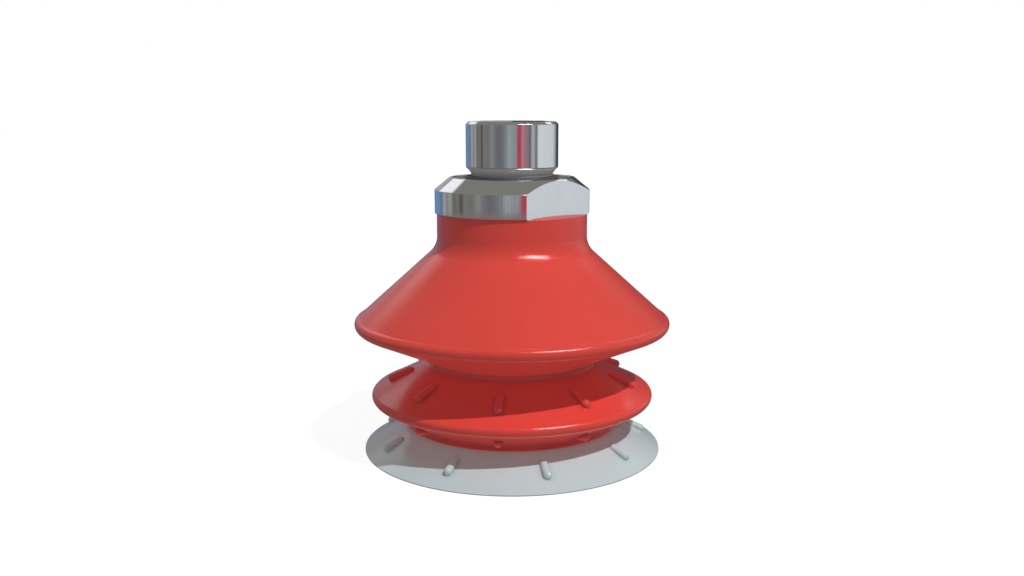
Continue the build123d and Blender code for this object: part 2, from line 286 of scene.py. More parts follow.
def band_cut(a, b, radius):
    """Share of the way from a to b at which a radius is crossed, or None."""
    if (a[0] - radius) * (b[0] - radius) >= 0:
        return None
    return (radius - a[0]) / (b[0] - a[0])


def inner_face(start, end, thickness):
    """Line of a wall's inner face, as a point and a unit direction; the outer face runs downwards."""
    run = np.array(end) - np.array(start)
    along = run / np.linalg.norm(run)
    return np.array(start) + thickness * np.array((along[1], -along[0])), along


def meet(first, second):
    """Crossing point of two lines."""
    (p, a), (q, b) = first, second
    step = ((q[0] - p[0]) * b[1] - (q[1] - p[1]) * b[0]) / (a[0] * b[1] - a[1] * b[0])
    return tuple(p + a * step)


def at_radius(line, radius):
    """Point of a line at a given radius."""
    (r, z), (dr, dz) = line
    return (radius, z + (radius - r) * dz / dr)


def wall_line(start, end):
    """A wall's outer face, as a point and a direction."""
    return start, (end[0] - start[0], end[1] - start[1])


def bead(rim):
    """A rim's bead: the end of its cone, its nose, the start of its return wall, and both arcs."""
    upper = (rim["r"] - rim["above"], rim["z"])
    lower = (rim["r"] - rim["below"], rim["z"])
    over = arc(upper, rim["above"], rim["start"], 0)
    under = arc(lower, rim["below"], 0, rim["slope"] - 90)
    return over, under


def foot(rim, end, waist_r):
    """Where a rim's return wall reaches the waist below it."""
    return (waist_r, end[1] - (end[0] - waist_r) * math.tan(math.radians(rim["slope"])))


UPPER_OVER, UPPER_UNDER = bead(UPPER_RIM)
LOWER_OVER, LOWER_UNDER = bead(LOWER_RIM)
NECK_CORNER = (NECK_R, NECK_CORNER_Z)
UPPER_WAIST = foot(UPPER_RIM, UPPER_UNDER[-1], UPPER_WAIST_R)
LOWER_WAIST = foot(LOWER_RIM, LOWER_UNDER[-1], LOWER_WAIST_R)
EDGE = (EDGE_R, LIP_TOP_Z)
BAND_TOP = at_radius(wall_line(UPPER_UNDER[-1], UPPER_WAIST), WAIST_BAND_R)
BAND_FOOT = at_radius(wall_line(UPPER_WAIST, LOWER_OVER[0]), WAIST_BAND_R)
WAIST_SPLIT_Z = (BAND_TOP[1] + BAND_FOOT[1]) / 2
UPPER_CONE_IN = inner_face(NECK_CORNER, UPPER_OVER[0], UPPER_CONE_T)
UPPER_RETURN_IN = inner_face(UPPER_UNDER[-1], UPPER_WAIST, UPPER_RETURN_T)
LOWER_CONE_IN = inner_face(UPPER_WAIST, LOWER_OVER[0], LOWER_CONE_T)
LOWER_RETURN_IN = inner_face(LOWER_UNDER[-1], LOWER_WAIST, LOWER_RETURN_T)
UPPER_FOLD_IN = meet(UPPER_CONE_IN, UPPER_RETURN_IN)
LOWER_FOLD_IN = meet(LOWER_CONE_IN, LOWER_RETURN_IN)


# ---------------------------------------------------------------- meshes


def turned(name, outline, count):
    """Closed mesh turned from a closed outline of (radius, height), with count columns."""
    outline = np.array(outline)
    rows = len(outline)
    angles = np.tile(np.arange(count) * 2 * np.pi / count, (rows, 1))
    radius = np.repeat(outline[:, :1], count, axis=1)
    height = np.repeat(outline[:, 1:], count, axis=1)
    points = np.stack((radius * np.cos(angles), radius * np.sin(angles), height), axis=-1)
    row, column = np.meshgrid(np.arange(rows), np.arange(count), indexing="ij")
    next_row, next_column = (row + 1) % rows, (column + 1) % count
    corners = [row * count + column, next_row * count + column]
    corners += [next_row * count + next_column, row * count + next_column]
    return mesh_object(name, points.reshape(-1, 3), np.stack(corners, axis=-1).reshape(-1, 4))


def mesh_object(name, points, faces):
    """Object from points in millimetres, smooth but for its corners, with its faces outwards."""
    mesh = bpy.data.meshes.new(name)
    mesh.from_pydata((np.asarray(points) * MM).tolist(), [], [tuple(face) for face in faces])
    obj = bpy.data.objects.new(name, mesh)
    bpy.context.scene.collection.objects.link(obj)
    work = bmesh.new()
    work.from_mesh(mesh)
    bmesh.ops.recalc_face_normals(work, faces=work.faces)
    work.to_mesh(mesh)
    work.free()
    smooth(obj, SHARP_ANGLE)
    return obj


def smooth(obj, sharp):
    """Smooth shading, with edges sharper than an angle in degrees left sharp."""
    obj.data.shade_smooth()
    obj.data.set_sharp_from_angle(angle=math.radians(sharp))


def fine_band(cleat):
    """Radius band that a ring of cleats needs fine rows over."""
    reach = cleat["radius"] + CLEAT_MARGIN
    return [(cleat["inner_r"] - reach, cleat["outer_r"] + reach)]


def add_cleats(piece, cleat, line, first_angle):
    """Joins a ring of round-ended ribs to a wall."""
    low = at_radius(line, cleat["inner_r"])
    high = at_radius(line, cleat["outer_r"])
    low = (low[0], low[1] + cleat["inner_rise"])
    high = (high[0], high[1] + cleat["outer_rise"])
    points, faces = [], []
    for index in range(CLEAT_COUNT):
        add_rib(points, faces, low, high, cleat["radius"], math.radians(first_angle + index * CLEAT_PITCH))
    combine(piece, mesh_object("ribs", points, faces), "UNION")


def add_rib(points, faces, low, high, size, turn):
    """One rib: a rod with ball ends, in a vertical plane through the axis."""
    low, high = np.array(low), np.array(high)
    along = (high - low) / np.linalg.norm(high - low)
    up = np.array((-along[1], along[0]))
    rings = []
    for step in range(RIB_ARC_STEPS + 1):
        back = math.pi / 2 * step / RIB_ARC_STEPS
        rings.append((low - along * size * math.cos(back), size * math.sin(back)))
    for step in range(RIB_ARC_STEPS + 1):
        on = math.pi / 2 * step / RIB_ARC_STEPS
        rings.append((high + along * size * math.sin(on), size * math.cos(on)))
    first = len(points)
    for middle, width in rings[1:-1]:
        for side in range(RIB_SIDES):
            angle = 2 * math.pi * side / RIB_SIDES
            radius, height = middle + up * width * math.cos(angle)
            across = width * math.sin(angle)
            points.append(placed(radius, across, height, turn))
    count = len(rings) - 2
    for tip, _ in (rings[0], rings[-1]):
        points.append(placed(tip[0], 0, tip[1], turn))
    start, end = len(points) - 2, len(points) - 1
    for side in range(RIB_SIDES):
        after = (side + 1) % RIB_SIDES
        for ring in range(count - 1):
            here = first + ring * RIB_SIDES
            faces.append((here + side, here + after, here + RIB_SIDES + after, here + RIB_SIDES + side))
        last = first + (count - 1) * RIB_SIDES
        faces.append((start, first + after, first + side))
        faces.append((end, last + side, last + after))


def placed(radius, across, height, turn):
    """Point at a radius, a distance across it and a height, turned about the axis."""
    x = radius * math.cos(turn) - across * math.sin(turn)
    y = radius * math.sin(turn) + across * math.cos(turn)
    return (x, y, height)


def combine(piece, tool, operation):
    """Joins a closed tool to a piece or cuts it out, and drops the tool."""
    modifier = piece.modifiers.new("combine", "BOOLEAN")
    modifier.operation = operation
    modifier.solver = "EXACT"
    modifier.object = tool
    bpy.context.view_layer.objects.active = piece
    bpy.ops.object.modifier_apply(modifier=modifier.name)
    bpy.data.objects.remove(tool)
    smooth(piece, SHARP_ANGLE)


def upper_cone():
    """Neck, upper cone and the top half of the upper rim's bead."""
    outside = rounded(
        (NECK_R - NECK_LAND, COLLAR_BOTTOM_Z, 0),
        (NECK_R, COLLAR_BOTTOM_Z, NECK_TOP_ROUND),
        (*NECK_CORNER, NECK_FILLET),
        (*UPPER_OVER[0], BEAD_ROOT_FILLET),
        (*UPPER_OVER[BEAD_ROOT_STEPS], 0),
    )[:-1] + UPPER_OVER[BEAD_ROOT_STEPS:]
    inside = rounded(
        (*UPPER_FOLD_IN, 0),
        (*at_radius(UPPER_CONE_IN, NECK_POCKET_R), SMALL_FILLET),
        (NECK_POCKET_R, NECK_SHELF_Z, SMALL_FILLET),
        (NECK_BORE_R, NECK_SHELF_Z, SMALL_FILLET),
        (NECK_BORE_R, COLLAR_BOTTOM_Z, 0),
    )
    outline = refine(outside + inside + outside[:1], COARSE_STEP)[:-1]
    return turned("upper_cone", outline, SOFT_COLUMNS)


def upper_return():
    """Bottom half of the upper bead, return wall and the top half of the waist."""
    outside = UPPER_UNDER[:-1] + rounded(
        (*UPPER_UNDER[-1], 0),
        (*BAND_TOP, WAIST_BAND_FILLET),
        (WAIST_BAND_R, WAIST_SPLIT_Z, 0),
    )
    inside = rounded(
        (WAIST_BORE_R, WAIST_SPLIT_Z, 0),
        (*at_radius(UPPER_RETURN_IN, WAIST_BORE_R), INNER_FILLET),
        (*UPPER_FOLD_IN, 0),
    )
    outline = refine(outside + inside + outside[:1], COARSE_STEP)[:-1]
    return turned("upper_return", outline, SOFT_COLUMNS)


def lower_cone():
    """Bottom half of the waist, lower cone with its cleats and the top half of the lower bead."""
    cleat = LOWER_CONE_CLEAT
    outside = rounded(
        (WAIST_BAND_R, WAIST_SPLIT_Z, 0),
        (*BAND_FOOT, WAIST_BAND_FILLET),
        (*LOWER_OVER[0], BEAD_ROOT_FILLET),
        (*LOWER_OVER[BEAD_ROOT_STEPS], 0),
    )[:-1] + LOWER_OVER[BEAD_ROOT_STEPS:]
    inside = rounded(
        (*LOWER_FOLD_IN, 0),
        (*at_radius(LOWER_CONE_IN, WAIST_BORE_R), INNER_FILLET),
        (WAIST_BORE_R, WAIST_SPLIT_Z, 0),
    )
    outside = refine(outside, COARSE_STEP, fine_band(cleat))
    outline = outside + refine(outside[-1:] + inside + outside[:1], COARSE_STEP)[1:-1]
    line = wall_line(UPPER_WAIST, LOWER_OVER[0])
    piece = turned("lower_cone", outline, SOFT_COLUMNS)
    add_cleats(piece, cleat, line, CLEAT_ANGLE)
    return piece


def lower_return():
    """Bottom half of the lower bead, return wall with its small cleats and the edge that the lip joins."""
    cleat = RETURN_CLEAT
    outside = LOWER_UNDER[:-1] + rounded(
        (*LOWER_UNDER[-1], 0),
        (*LOWER_WAIST, LOWER_WAIST_FILLET),
        (*EDGE, 0),
    )
    inside = rounded(
        (CARRIER_BORE_R, LIP_TOP_Z, 0),
        (*at_radius(LOWER_RETURN_IN, CARRIER_BORE_R), SMALL_FILLET),
        (*LOWER_FOLD_IN, 0),
    )
    outside = refine(outside, COARSE_STEP, fine_band(cleat))
    outline = outside + refine(outside[-1:] + inside + outside[:1], COARSE_STEP)[1:-1]
    line = wall_line(LOWER_WAIST, LOWER_UNDER[-1])
    piece = turned("lower_return", outline, SOFT_COLUMNS)
    add_cleats(piece, cleat, line, CLEAT_ANGLE)
    return piece


def lip():
    """Grey lip with its cleats."""
    cleat = LIP_CLEAT
    outside = rounded(
        (*EDGE, 0),
        (*LIP_KNEE, LIP_KNEE_FILLET),
        (LIP_R, LIP_EDGE_T, LIP_EDGE_ROUND),
        (LIP_R, 0, 0),
    )
    inside = rounded(
        (LIP_R, 0, 0),
        (LIP_LAND_R, 0, LIP_LAND_FILLET),
        (*LIP_INNER_KNEE, LIP_INNER_KNEE_FILLET),
        (CARRIER_BORE_R, LIP_INNER_TOP_Z, LIP_INNER_TOP_FILLET),
        (CARRIER_BORE_R, LIP_TOP_Z, 0),
    )
    outside = refine(outside, COARSE_STEP, fine_band(cleat))
    outline = outside + refine(inside + outside[:1], COARSE_STEP)[1:-1]
    line = wall_line(LIP_KNEE, (LIP_R, LIP_EDGE_T))
    piece = turned("lip", outline, SOFT_COLUMNS)
    add_cleats(piece, cleat, line, CLEAT_ANGLE + CLEAT_PITCH / 2)
    return piece

# ---------------------------------------------------------------- shader nodes


def node(owner, kind, **values):
    """New shader node of a material or world, with its properties or inputs set by name."""
    made = owner.node_tree.nodes.new(kind)
    for key, value in values.items():
        if key in made.inputs:
            made.inputs[key].default_value = value
        else:
            setattr(made, key, value)
    return made


def link(owner, value, target):
    """Feeds a socket from another socket, or sets it to a plain value."""
    if hasattr(value, "links"):
        owner.node_tree.links.new(value, target)
    else:
        target.default_value = value


def maths(owner, operation, first, second=0.0):
    """Result of one sum on two values."""
    made = node(owner, "ShaderNodeMath", operation=operation)
    link(owner, first, made.inputs[0])
    link(owner, second, made.inputs[1])
    return made.outputs[0]


def blended(owner, factor, first, second, kind="RGBA"):
    """Mix of two values or colours by a factor."""
    made = node(owner, "ShaderNodeMix", data_type=kind)
    link(owner, factor, made.inputs["Factor"])
    link(owner, first, made.inputs["A"])
    link(owner, second, made.inputs["B"])
    return made.outputs["Result"]


def ranged(owner, value, low, high, start=NOISE_LOW, end=NOISE_HIGH):
    """A value remapped to a range."""
    made = node(owner, "ShaderNodeMapRange", clamp=False)
    for socket, number in (("From Min", start), ("From Max", end), ("To Min", low), ("To Max", high)):
        made.inputs[socket].default_value = number
    link(owner, value, made.inputs["Value"])
    return made.outputs["Result"]


def step_up(owner, value, start, end):
    """Smooth step from 0 to 1 as a value goes from start to end."""
    made = node(owner, "ShaderNodeMapRange", interpolation_type="SMOOTHSTEP")
    link(owner, value, made.inputs["Value"])
    made.inputs["From Min"].default_value = start
    made.inputs["From Max"].default_value = end
    return made.outputs["Result"]


def noise(owner, place, scale, detail=3.0, roughness=0.5):
    """Noise with a scale per metre."""
    made = node(owner, "ShaderNodeTexNoise", Scale=scale, Detail=detail, Roughness=roughness)
    link(owner, place, made.inputs["Vector"])
    return made.outputs["Fac"]


def tinted(owner, value, first, second):
    """Colour between two, by a noise value."""
    return blended(owner, value, (*first, 1), (*second, 1))


def coordinates(owner):
    """Object coordinates, the same in every piece because each sits at the origin."""
    return node(owner, "ShaderNodeTexCoord").outputs["Object"]


def height_band(owner, place, low_z, high_z):
    """1 between two heights in millimetres, 0 elsewhere."""
    split = node(owner, "ShaderNodeSeparateXYZ")
    link(owner, place, split.inputs["Vector"])
    above = maths(owner, "GREATER_THAN", split.outputs["Z"], low_z * MM)
    below = maths(owner, "LESS_THAN", split.outputs["Z"], high_z * MM)
    return maths(owner, "MULTIPLY", above, below)


# ---------------------------------------------------------------- materials


def new_material(name):
    """Node material with its Principled shader."""
    material = bpy.data.materials.new(name)
    material.use_nodes = True
    return material, material.node_tree.nodes["Principled BSDF"]


def bumped(material, height, distance, shader):
    """Bump from a height, with its depth in metres."""
    made = node(material, "ShaderNodeBump", Strength=1.0, Distance=distance)
    link(material, height, made.inputs["Height"])
    link(material, made.outputs["Normal"], shader.inputs["Normal"])


def elastomer(name, first, second, rough, milky, haze, painted_glow_colour):
    """Moulded polyurethane: faint colour drift, fine skin, a soft gloss, painted shade that darkens corners
    and the lip's sealing edge, and a faint painted glow.
    """
    material, shader = new_material(name)
    place = coordinates(material)
    drift = noise(material, place, DRIFT_SCALE, 2)
    skin = noise(material, place, SKIN_SCALE, 4, 0.6)
    colour = tinted(material, ranged(material, drift, 0, 1), first, second)
    # Painted shade: the colour that corners and creases are darkened to, and that the lip's sealing edge is
    # painted with
    dark = (*(CREVICE_SHADE * (a + b) / 2 for a, b in zip(first, second)), 1)
    # Painted shade: ambient occlusion darkens the base colour near corners, where shade falls
    corners = node(material, "ShaderNodeAmbientOcclusion", samples=12, only_local=True)
    corners.inputs["Distance"].default_value = CREVICE_REACH
    open_share = ranged(material, corners.outputs["AO"], CREVICE_LOW, 1.0, CREVICE_LEAST, 1.0)
    shaded = blended(material, open_share, dark, colour)
    # Painted contact shade: the lip's sealing edge next to the floor is darkened
    rim = height_band(material, place, BELOW_ALL_Z, RIM_PAINTED_SHADE_Z)
    link(material, blended(material, rim, shaded, dark), shader.inputs["Base Color"])
    link(material, ranged(material, drift, *rough), shader.inputs["Roughness"])
    bumped(material, skin, SKIN_DEPTH, shader)
    shader.inputs["IOR"].default_value = 1.5
    # Painted light: a faint glow lifts the shade, though the polyurethane is no lamp
    shader.inputs["Emission Color"].default_value = painted_glow_colour
    shader.inputs["Emission Strength"].default_value = haze
    shader.inputs["Subsurface Weight"].default_value = milky
    shader.inputs["Subsurface Radius"].default_value = MILKY_COLOUR_REACH
    shader.inputs["Subsurface Scale"].default_value = MILKY_DEPTH
    return material


def plated():
    """Polished nickel: faint turned rings, a slight haze, and a matt run-out below the nipple."""
    material, shader = new_material("polished_nickel")
    place = coordinates(material)
    stretch = node(material, "ShaderNodeMapping")
    stretch.inputs["Scale"].default_value = (1, 1, RING_STRETCH)
    link(material, place, stretch.inputs["Vector"])
    rings = noise(material, stretch.outputs["Vector"], RING_SCALE)
    haze = noise(material, place, HAZE_SCALE)
    tint = tinted(material, ranged(material, haze, 0, 1), (0.80, 0.81, 0.82), (0.86, 0.87, 0.875))
    matt = height_band(material, place, RUN_OUT_LOW_Z, RUN_OUT_HIGH_Z)
    speckle = ranged(material, noise(material, place, SPECKLE_SCALE, 3, 0.6), *RUN_OUT_SHADES)
    polish = ranged(material, haze, *POLISH_ROUGHNESS)
    link(material, blended(material, matt, tint, speckle), shader.inputs["Base Color"])
    link(material, blended(material, matt, polish, RUN_OUT_ROUGHNESS, "FLOAT"), shader.inputs["Roughness"])
    link(material, blended(material, matt, 1.0, RUN_OUT_METAL, "FLOAT"), shader.inputs["Metallic"])
    bumped(material, rings, RING_DEPTH, shader)
    return material


def grained(name, first, second, rough, scale, detail_roughness, depth, metallic):
    """Steel, rubber or plastic with a fine grain."""
    material, shader = new_material(name)
    grain = noise(material, coordinates(material), scale, 4, detail_roughness)
    colour = tinted(material, ranged(material, grain, 0, 1), first, second)
    link(material, colour, shader.inputs["Base Color"])
    link(material, ranged(material, grain, *rough), shader.inputs["Roughness"])
    bumped(material, grain, depth, shader)
    shader.inputs["Metallic"].default_value = metallic
    return material


RED = elastomer(
    "red_polyurethane",
    first=(0.74, 0.052, 0.038),
    second=(0.78, 0.062, 0.046),
    rough=(0.2, 0.23),
    milky=0.03,
    # Painted light: a faint even glow that keeps the red's shade from going too deep
    haze=0.011,
    painted_glow_colour=(1.0, 0.95, 0.92, 1),
)
GREY = elastomer(
    "grey_polyurethane",
    first=(0.50, 0.61, 0.635),
    second=(0.53, 0.64, 0.66),
    rough=(0.2, 0.23),
    milky=0.05,
    # Painted light: a faint cyan glow that offsets the red light the lip picks up in its shade
    haze=0.028,
    painted_glow_colour=(0.72, 1.0, 0.97, 1),
)
NICKEL = plated()
STEEL = grained(
    "stainless_steel",
    first=(0.45, 0.44, 0.43),
    second=(0.62, 0.61, 0.59),
    rough=(0.28, 0.42),
    scale=2500,
    detail_roughness=0.65,
    depth=0.000002,
    metallic=1.0,
)
SEAL = grained(
    "dark_seal_rubber",
    first=(0.050, 0.052, 0.056),
    second=(0.070, 0.072, 0.078),
    rough=(0.42, 0.55),
    scale=2200,
    detail_roughness=0.6,
    depth=0.000006,
    metallic=0.0,
)
PLASTIC = grained(
    "black_plastic",
    first=(0.02, 0.02, 0.021),
    second=(0.035, 0.035, 0.036),
    rough=(0.5, 0.62),
    scale=2200,
    detail_roughness=0.6,
    depth=0.000008,
    metallic=0.0,
)


def dress(obj, material):
    """Gives an object one material."""
    obj.data.materials.clear()
    obj.data.materials.append(material)


# ---------------------------------------------------------------- fitting


def fitting():
    """Nipple, collar and spigot with rounded edges, and two wrench flats."""
    outline = rounded(*nipple_corners(), *collar_corners(), *spigot_corners(), *port_corners())[:-1]
    piece = turned("fitting", outline, METAL_COLUMNS)
    for turn in (0, 180):
        cut_flat(piece, FLATS_ANGLE + turn)
    smooth(piece, METAL_SHARP_ANGLE)
    return piece


def nipple_corners():
    """The nipple's outside, from the port's edge down to the undercut."""
    top = TOTAL_HEIGHT - NIPPLE_DROP
    return (
        (PORT_R + PORT_CHAMFER + PORT_LAND, TOTAL_HEIGHT, 0),
        (NIPPLE_R - NIPPLE_CHAMFER, top, METAL_EDGE),
        (NIPPLE_R, top - NIPPLE_CHAMFER, METAL_EDGE),
        (NIPPLE_R, NIPPLE_BASE_Z, NIPPLE_BASE_ROUND),
        (UNDERCUT_R, NIPPLE_BASE_Z - NIPPLE_BASE_RUN, METAL_EDGE),
    )


def collar_corners():
    """The seal's recess and the collar."""
    recess_z = COLLAR_TOP_Z - SEAL_RECESS_DEPTH
    return (
        (UNDERCUT_R, recess_z, METAL_EDGE),
        (SEAL_RECESS_R, recess_z, METAL_EDGE),
        (SEAL_RECESS_R, COLLAR_TOP_Z, METAL_EDGE),
        (COLLAR_LAND_R, COLLAR_TOP_Z, METAL_EDGE),
        (COLLAR_R, COLLAR_CHAMFER_Z, METAL_EDGE),
        (COLLAR_R, COLLAR_BOTTOM_Z, 2 * METAL_EDGE),
    )


def spigot_corners():
    """The spigot inside the bellows neck, with the groove for its seal."""
    groove_low_z, groove_high_z = NECK_GROOVE_Z
    return (
        (SPIGOT_R, COLLAR_BOTTOM_Z, METAL_EDGE),
        (SPIGOT_R, groove_high_z, 0),
        (NECK_GROOVE_R, groove_high_z, METAL_EDGE),
        (NECK_GROOVE_R, groove_low_z, METAL_EDGE),
        (SPIGOT_R, groove_low_z, 0),
        (SPIGOT_R, SPIGOT_BOTTOM_Z, METAL_EDGE),
    )


def port_corners():
    """The bore, from the screw's thread up to the port."""
    port_bottom_z = TOTAL_HEIGHT - PORT_DEPTH
    return (
        (SCREW_THREAD_R, SPIGOT_BOTTOM_Z, METAL_EDGE),
        (SCREW_THREAD_R, SCREW_THREAD_TOP_Z, METAL_EDGE),
        (PASSAGE_R, SCREW_THREAD_TOP_Z, METAL_EDGE),
        (PASSAGE_R, port_bottom_z, METAL_EDGE),
        (PORT_R, port_bottom_z, METAL_EDGE),
        (PORT_R, TOTAL_HEIGHT - PORT_CHAMFER, METAL_EDGE),
        (PORT_R + PORT_CHAMFER, TOTAL_HEIGHT, METAL_EDGE),
        (PORT_R + PORT_CHAMFER + PORT_LAND, TOTAL_HEIGHT, 0),
    )


def cut_flat(piece, angle):
    """Cuts one wrench flat over the collar's height."""
    bpy.ops.mesh.primitive_cube_add(size=1)
    cutter = bpy.context.object
    high = COLLAR_TOP_Z + 2 * CUTTER_MARGIN - COLLAR_BOTTOM_Z
    cutter.scale = Vector((COLLAR_R, 3 * COLLAR_R, high)) * MM
    out = (FLATS_WIDTH / 2 + COLLAR_R / 2) * MM
    turn = math.radians(angle)
    middle = (COLLAR_BOTTOM_Z - CUTTER_MARGIN + high / 2) * MM
    cutter.location = (out * math.cos(turn), out * math.sin(turn), middle)
    cutter.rotation_euler = (0, 0, turn)
    bpy.context.view_layer.update()
    combine(piece, cutter, "DIFFERENCE")


def woven_mesh():
    """Filter disc of plain-woven wire."""
    count = int(MESH_R / WIRE_PITCH)
    points, faces = [], []
    for direction in (0, 1):
        for index in range(-count, count + 1):
            offset = index * WIRE_PITCH
            reach = math.sqrt(max(MESH_R**2 - offset**2, 0)) - WIRE_R
            if reach > WIRE_PITCH:
                add_wire(points, faces, direction, index, offset, reach)
    return mesh_object("woven_filter", points, faces)


def add_wire(points, faces, direction, index, offset, reach):
    """One wire that weaves over and under the wires across it."""
    steps = math.ceil(2 * reach / WIRE_PITCH * WIRE_STEPS_PER_PITCH)
    first = len(points)
    sign = 1 if (index + direction) % 2 else -1
    for step in range(steps + 1):
        along = -reach + 2 * reach * step / steps
        wave = sign * WIRE_R * math.cos(math.pi * along / WIRE_PITCH)
        for side in range(WIRE_SIDES):
            turn = 2 * math.pi * side / WIRE_SIDES
            across = offset + WIRE_R * math.cos(turn)
            height = MESH_Z + wave + WIRE_R * math.sin(turn)
            points.append((along, across, height) if direction == 0 else (across, along, height))
    for step in range(steps):
        for side in range(WIRE_SIDES):
            a = first + step * WIRE_SIDES + side
            b = first + step * WIRE_SIDES + (side + 1) % WIRE_SIDES
            faces.append((a, b, b + WIRE_SIDES, a + WIRE_SIDES))
    last = first + steps * WIRE_SIDES
    faces.append(tuple(range(first, first + WIRE_SIDES)))
    faces.append(tuple(range(last, last + WIRE_SIDES)))


# ---------------------------------------------------------------- studio


def light_value(level):
    """Linear light from an 8-bit display level."""
    share = level / 255
    return share / 12.92 if share <= 0.04045 else ((share + 0.055) / 1.055) ** 2.4


def display(red, green, blue):
    """Linear colour from 8-bit display levels."""
    return tuple(light_value(level) for level in (red, green, blue))


# Heights below are those of a direction's unit vector: 0 is level, 1 straight up
CEILING = display(128, 128, 122)
CEILING_BLEND = (0.22, 0.42)
GROUND_LIGHT = display(95, 95, 97)
GROUND_BLEND = (-0.16, -0.45)
SKIRT_LIGHT = display(128, 116, 116)
SKIRT_BLEND = (-0.112, -0.118)
HIGH_BLEND = (0.015, 0.05)
# Windows, by bearing, rise and half width in degrees
WINDOWS = ((-149.0, 30.0, 11.5), (146.0, 38.0, 8.0))
WINDOW_LIGHT = (0.98, 0.98, 1.0)
WINDOW_EDGE = 1.2
WINDOW_CORE = 0.8
# The lamp that the highlights show, in degrees
SOFTBOX = dict(bearing=46.0, rise=52.5, half_width=24.0, half_height=5.0, light=(30.0, 30.0, 29.5))
SOFTBOX_BLEND = (1.6, 0.6)
# Fine upright streaks, which stop short of the flat's bright panel; bearings in radians
STREAKS = dict(scale=12.0, depth=1.6, detail=3.0)
STREAKS_BLEND = (1.2, 1.0)
# Panels that stand round the set, by bearing in degrees from the front to the right
PANELS = (
    (-180, display(100, 125, 160)),
    (-142, display(112, 140, 178)),
    (-130, display(92, 132, 175)),
    (-127, display(108, 118, 128)),
    (-118, display(160, 166, 170)),
    (-110, display(135, 134, 136)),
    (-102, display(158, 160, 156)),
    (-95, display(104, 104, 98)),
    (-86, display(124, 120, 116)),
    (-80, display(84, 80, 74)),
    (-73, display(124, 122, 118)),
    (-60, display(114, 116, 114)),
    (-51, display(138, 139, 135)),
    (-42, display(118, 119, 124)),
    (-34, display(106, 107, 112)),
    (-24, display(112, 114, 120)),
    (-14, display(132, 137, 141)),
    (-8, display(156, 162, 167)),
    (1, display(145, 152, 158)),
    (9, display(144, 148, 152)),
    (15, display(172, 76, 92)),
    (20, display(176, 62, 80)),
    (25, display(190, 128, 136)),
    (34, display(156, 120, 128)),
    (40, display(140, 122, 130)),
    (45, display(98, 100, 106)),
    (52, display(178, 181, 188)),
    (58, display(150, 152, 158)),
    (62, display(96, 100, 106)),
    (69, display(214, 219, 223)),
    (122, display(206, 211, 216)),
    (146, display(60, 65, 72)),
)
# The same, a little above the horizon, where only chamfers and the red walls see it
HIGH_PANELS = (
    (-180, display(150, 150, 156)),
    (-163, display(172, 170, 177)),
    (-128, display(140, 141, 142)),
    (-20, display(128, 128, 128)),
    (60, display(124, 126, 130)),
    (130, display(190, 195, 200)),
    (150, display(62, 67, 74)),
    (180, display(62, 67, 74)),
)


def studio_world():
    """Plain white surround. Only reflections see the studio's panels, windows and floor."""
    world = bpy.data.worlds.new("studio")
    bpy.context.scene.world = world
    world.use_nodes = True
    world.node_tree.nodes.clear()
    direction = node(world, "ShaderNodeTexCoord").outputs["Generated"]
    split = node(world, "ShaderNodeSeparateXYZ")
    link(world, direction, split.inputs["Vector"])
    x, y, z = split.outputs
    bearing = maths(world, "ARCTAN2", x, maths(world, "MULTIPLY", y, -1.0))
    surround = standing_panels(world, bearing, z)
    surround = blended(world, step_up(world, z, *CEILING_BLEND), surround, (*CEILING, 1))
    for window in WINDOWS:
        surround = with_window(world, surround, direction, *window)
    surround = blended(world, step_up(world, z, *GROUND_BLEND), surround, (*GROUND_LIGHT, 1))
    surround = with_softbox(world, surround, bearing, z)
    rays = node(world, "ShaderNodeLightPath")
    plain = blended(world, rays.outputs["Is Camera Ray"], (AMBIENT, AMBIENT, AMBIENT, 1), (1, 1, 1, 1))
    seen = blended(world, rays.outputs["Is Glossy Ray"], plain, surround)
    background = node(world, "ShaderNodeBackground")
    link(world, seen, background.inputs["Color"])
    output = node(world, "ShaderNodeOutputWorld")
    link(world, background.outputs[0], output.inputs["Surface"])


def standing_panels(world, bearing, z):
    """The panels round the set: streaked at eye level, plain above it, and their skirt below."""
    share = maths(world, "ADD", maths(world, "DIVIDE", bearing, 2 * math.pi), 0.5)
    low = panel_colour(world, share, PANELS)
    high = panel_colour(world, share, HIGH_PANELS)
    streaks = node(world, "ShaderNodeTexNoise", noise_dimensions="1D", Detail=STREAKS["detail"])
    link(world, maths(world, "MULTIPLY", bearing, STREAKS["scale"]), streaks.inputs["W"])
    depth = maths(world, "MULTIPLY", step_up(world, bearing, *STREAKS_BLEND), STREAKS["depth"])
    swing = maths(world, "SUBTRACT", streaks.outputs["Fac"], 0.5)
    streaked = node(world, "ShaderNodeVectorMath", operation="SCALE")
    link(world, low, streaked.inputs[0])
    link(world, maths(world, "ADD", maths(world, "MULTIPLY", swing, depth), 1.0), streaked.inputs["Scale"])
    surround = blended(world, step_up(world, z, *HIGH_BLEND), streaked.outputs[0], high)
    return blended(world, step_up(world, z, *SKIRT_BLEND), surround, (*SKIRT_LIGHT, 1))


def panel_colour(world, share, panels):
    """Colour of a row of panels, blended from each to the next."""
    made = node(world, "ShaderNodeValToRGB")
    link(world, share, made.inputs[0])
    elements = made.color_ramp.elements
    for index, (bearing, colour) in enumerate(panels):
        place = (bearing + 180) / 360
        element = elements[index] if index < 2 else elements.new(place)
        element.position = place
        element.color = (*colour, 1)
    return made.outputs["Color"]


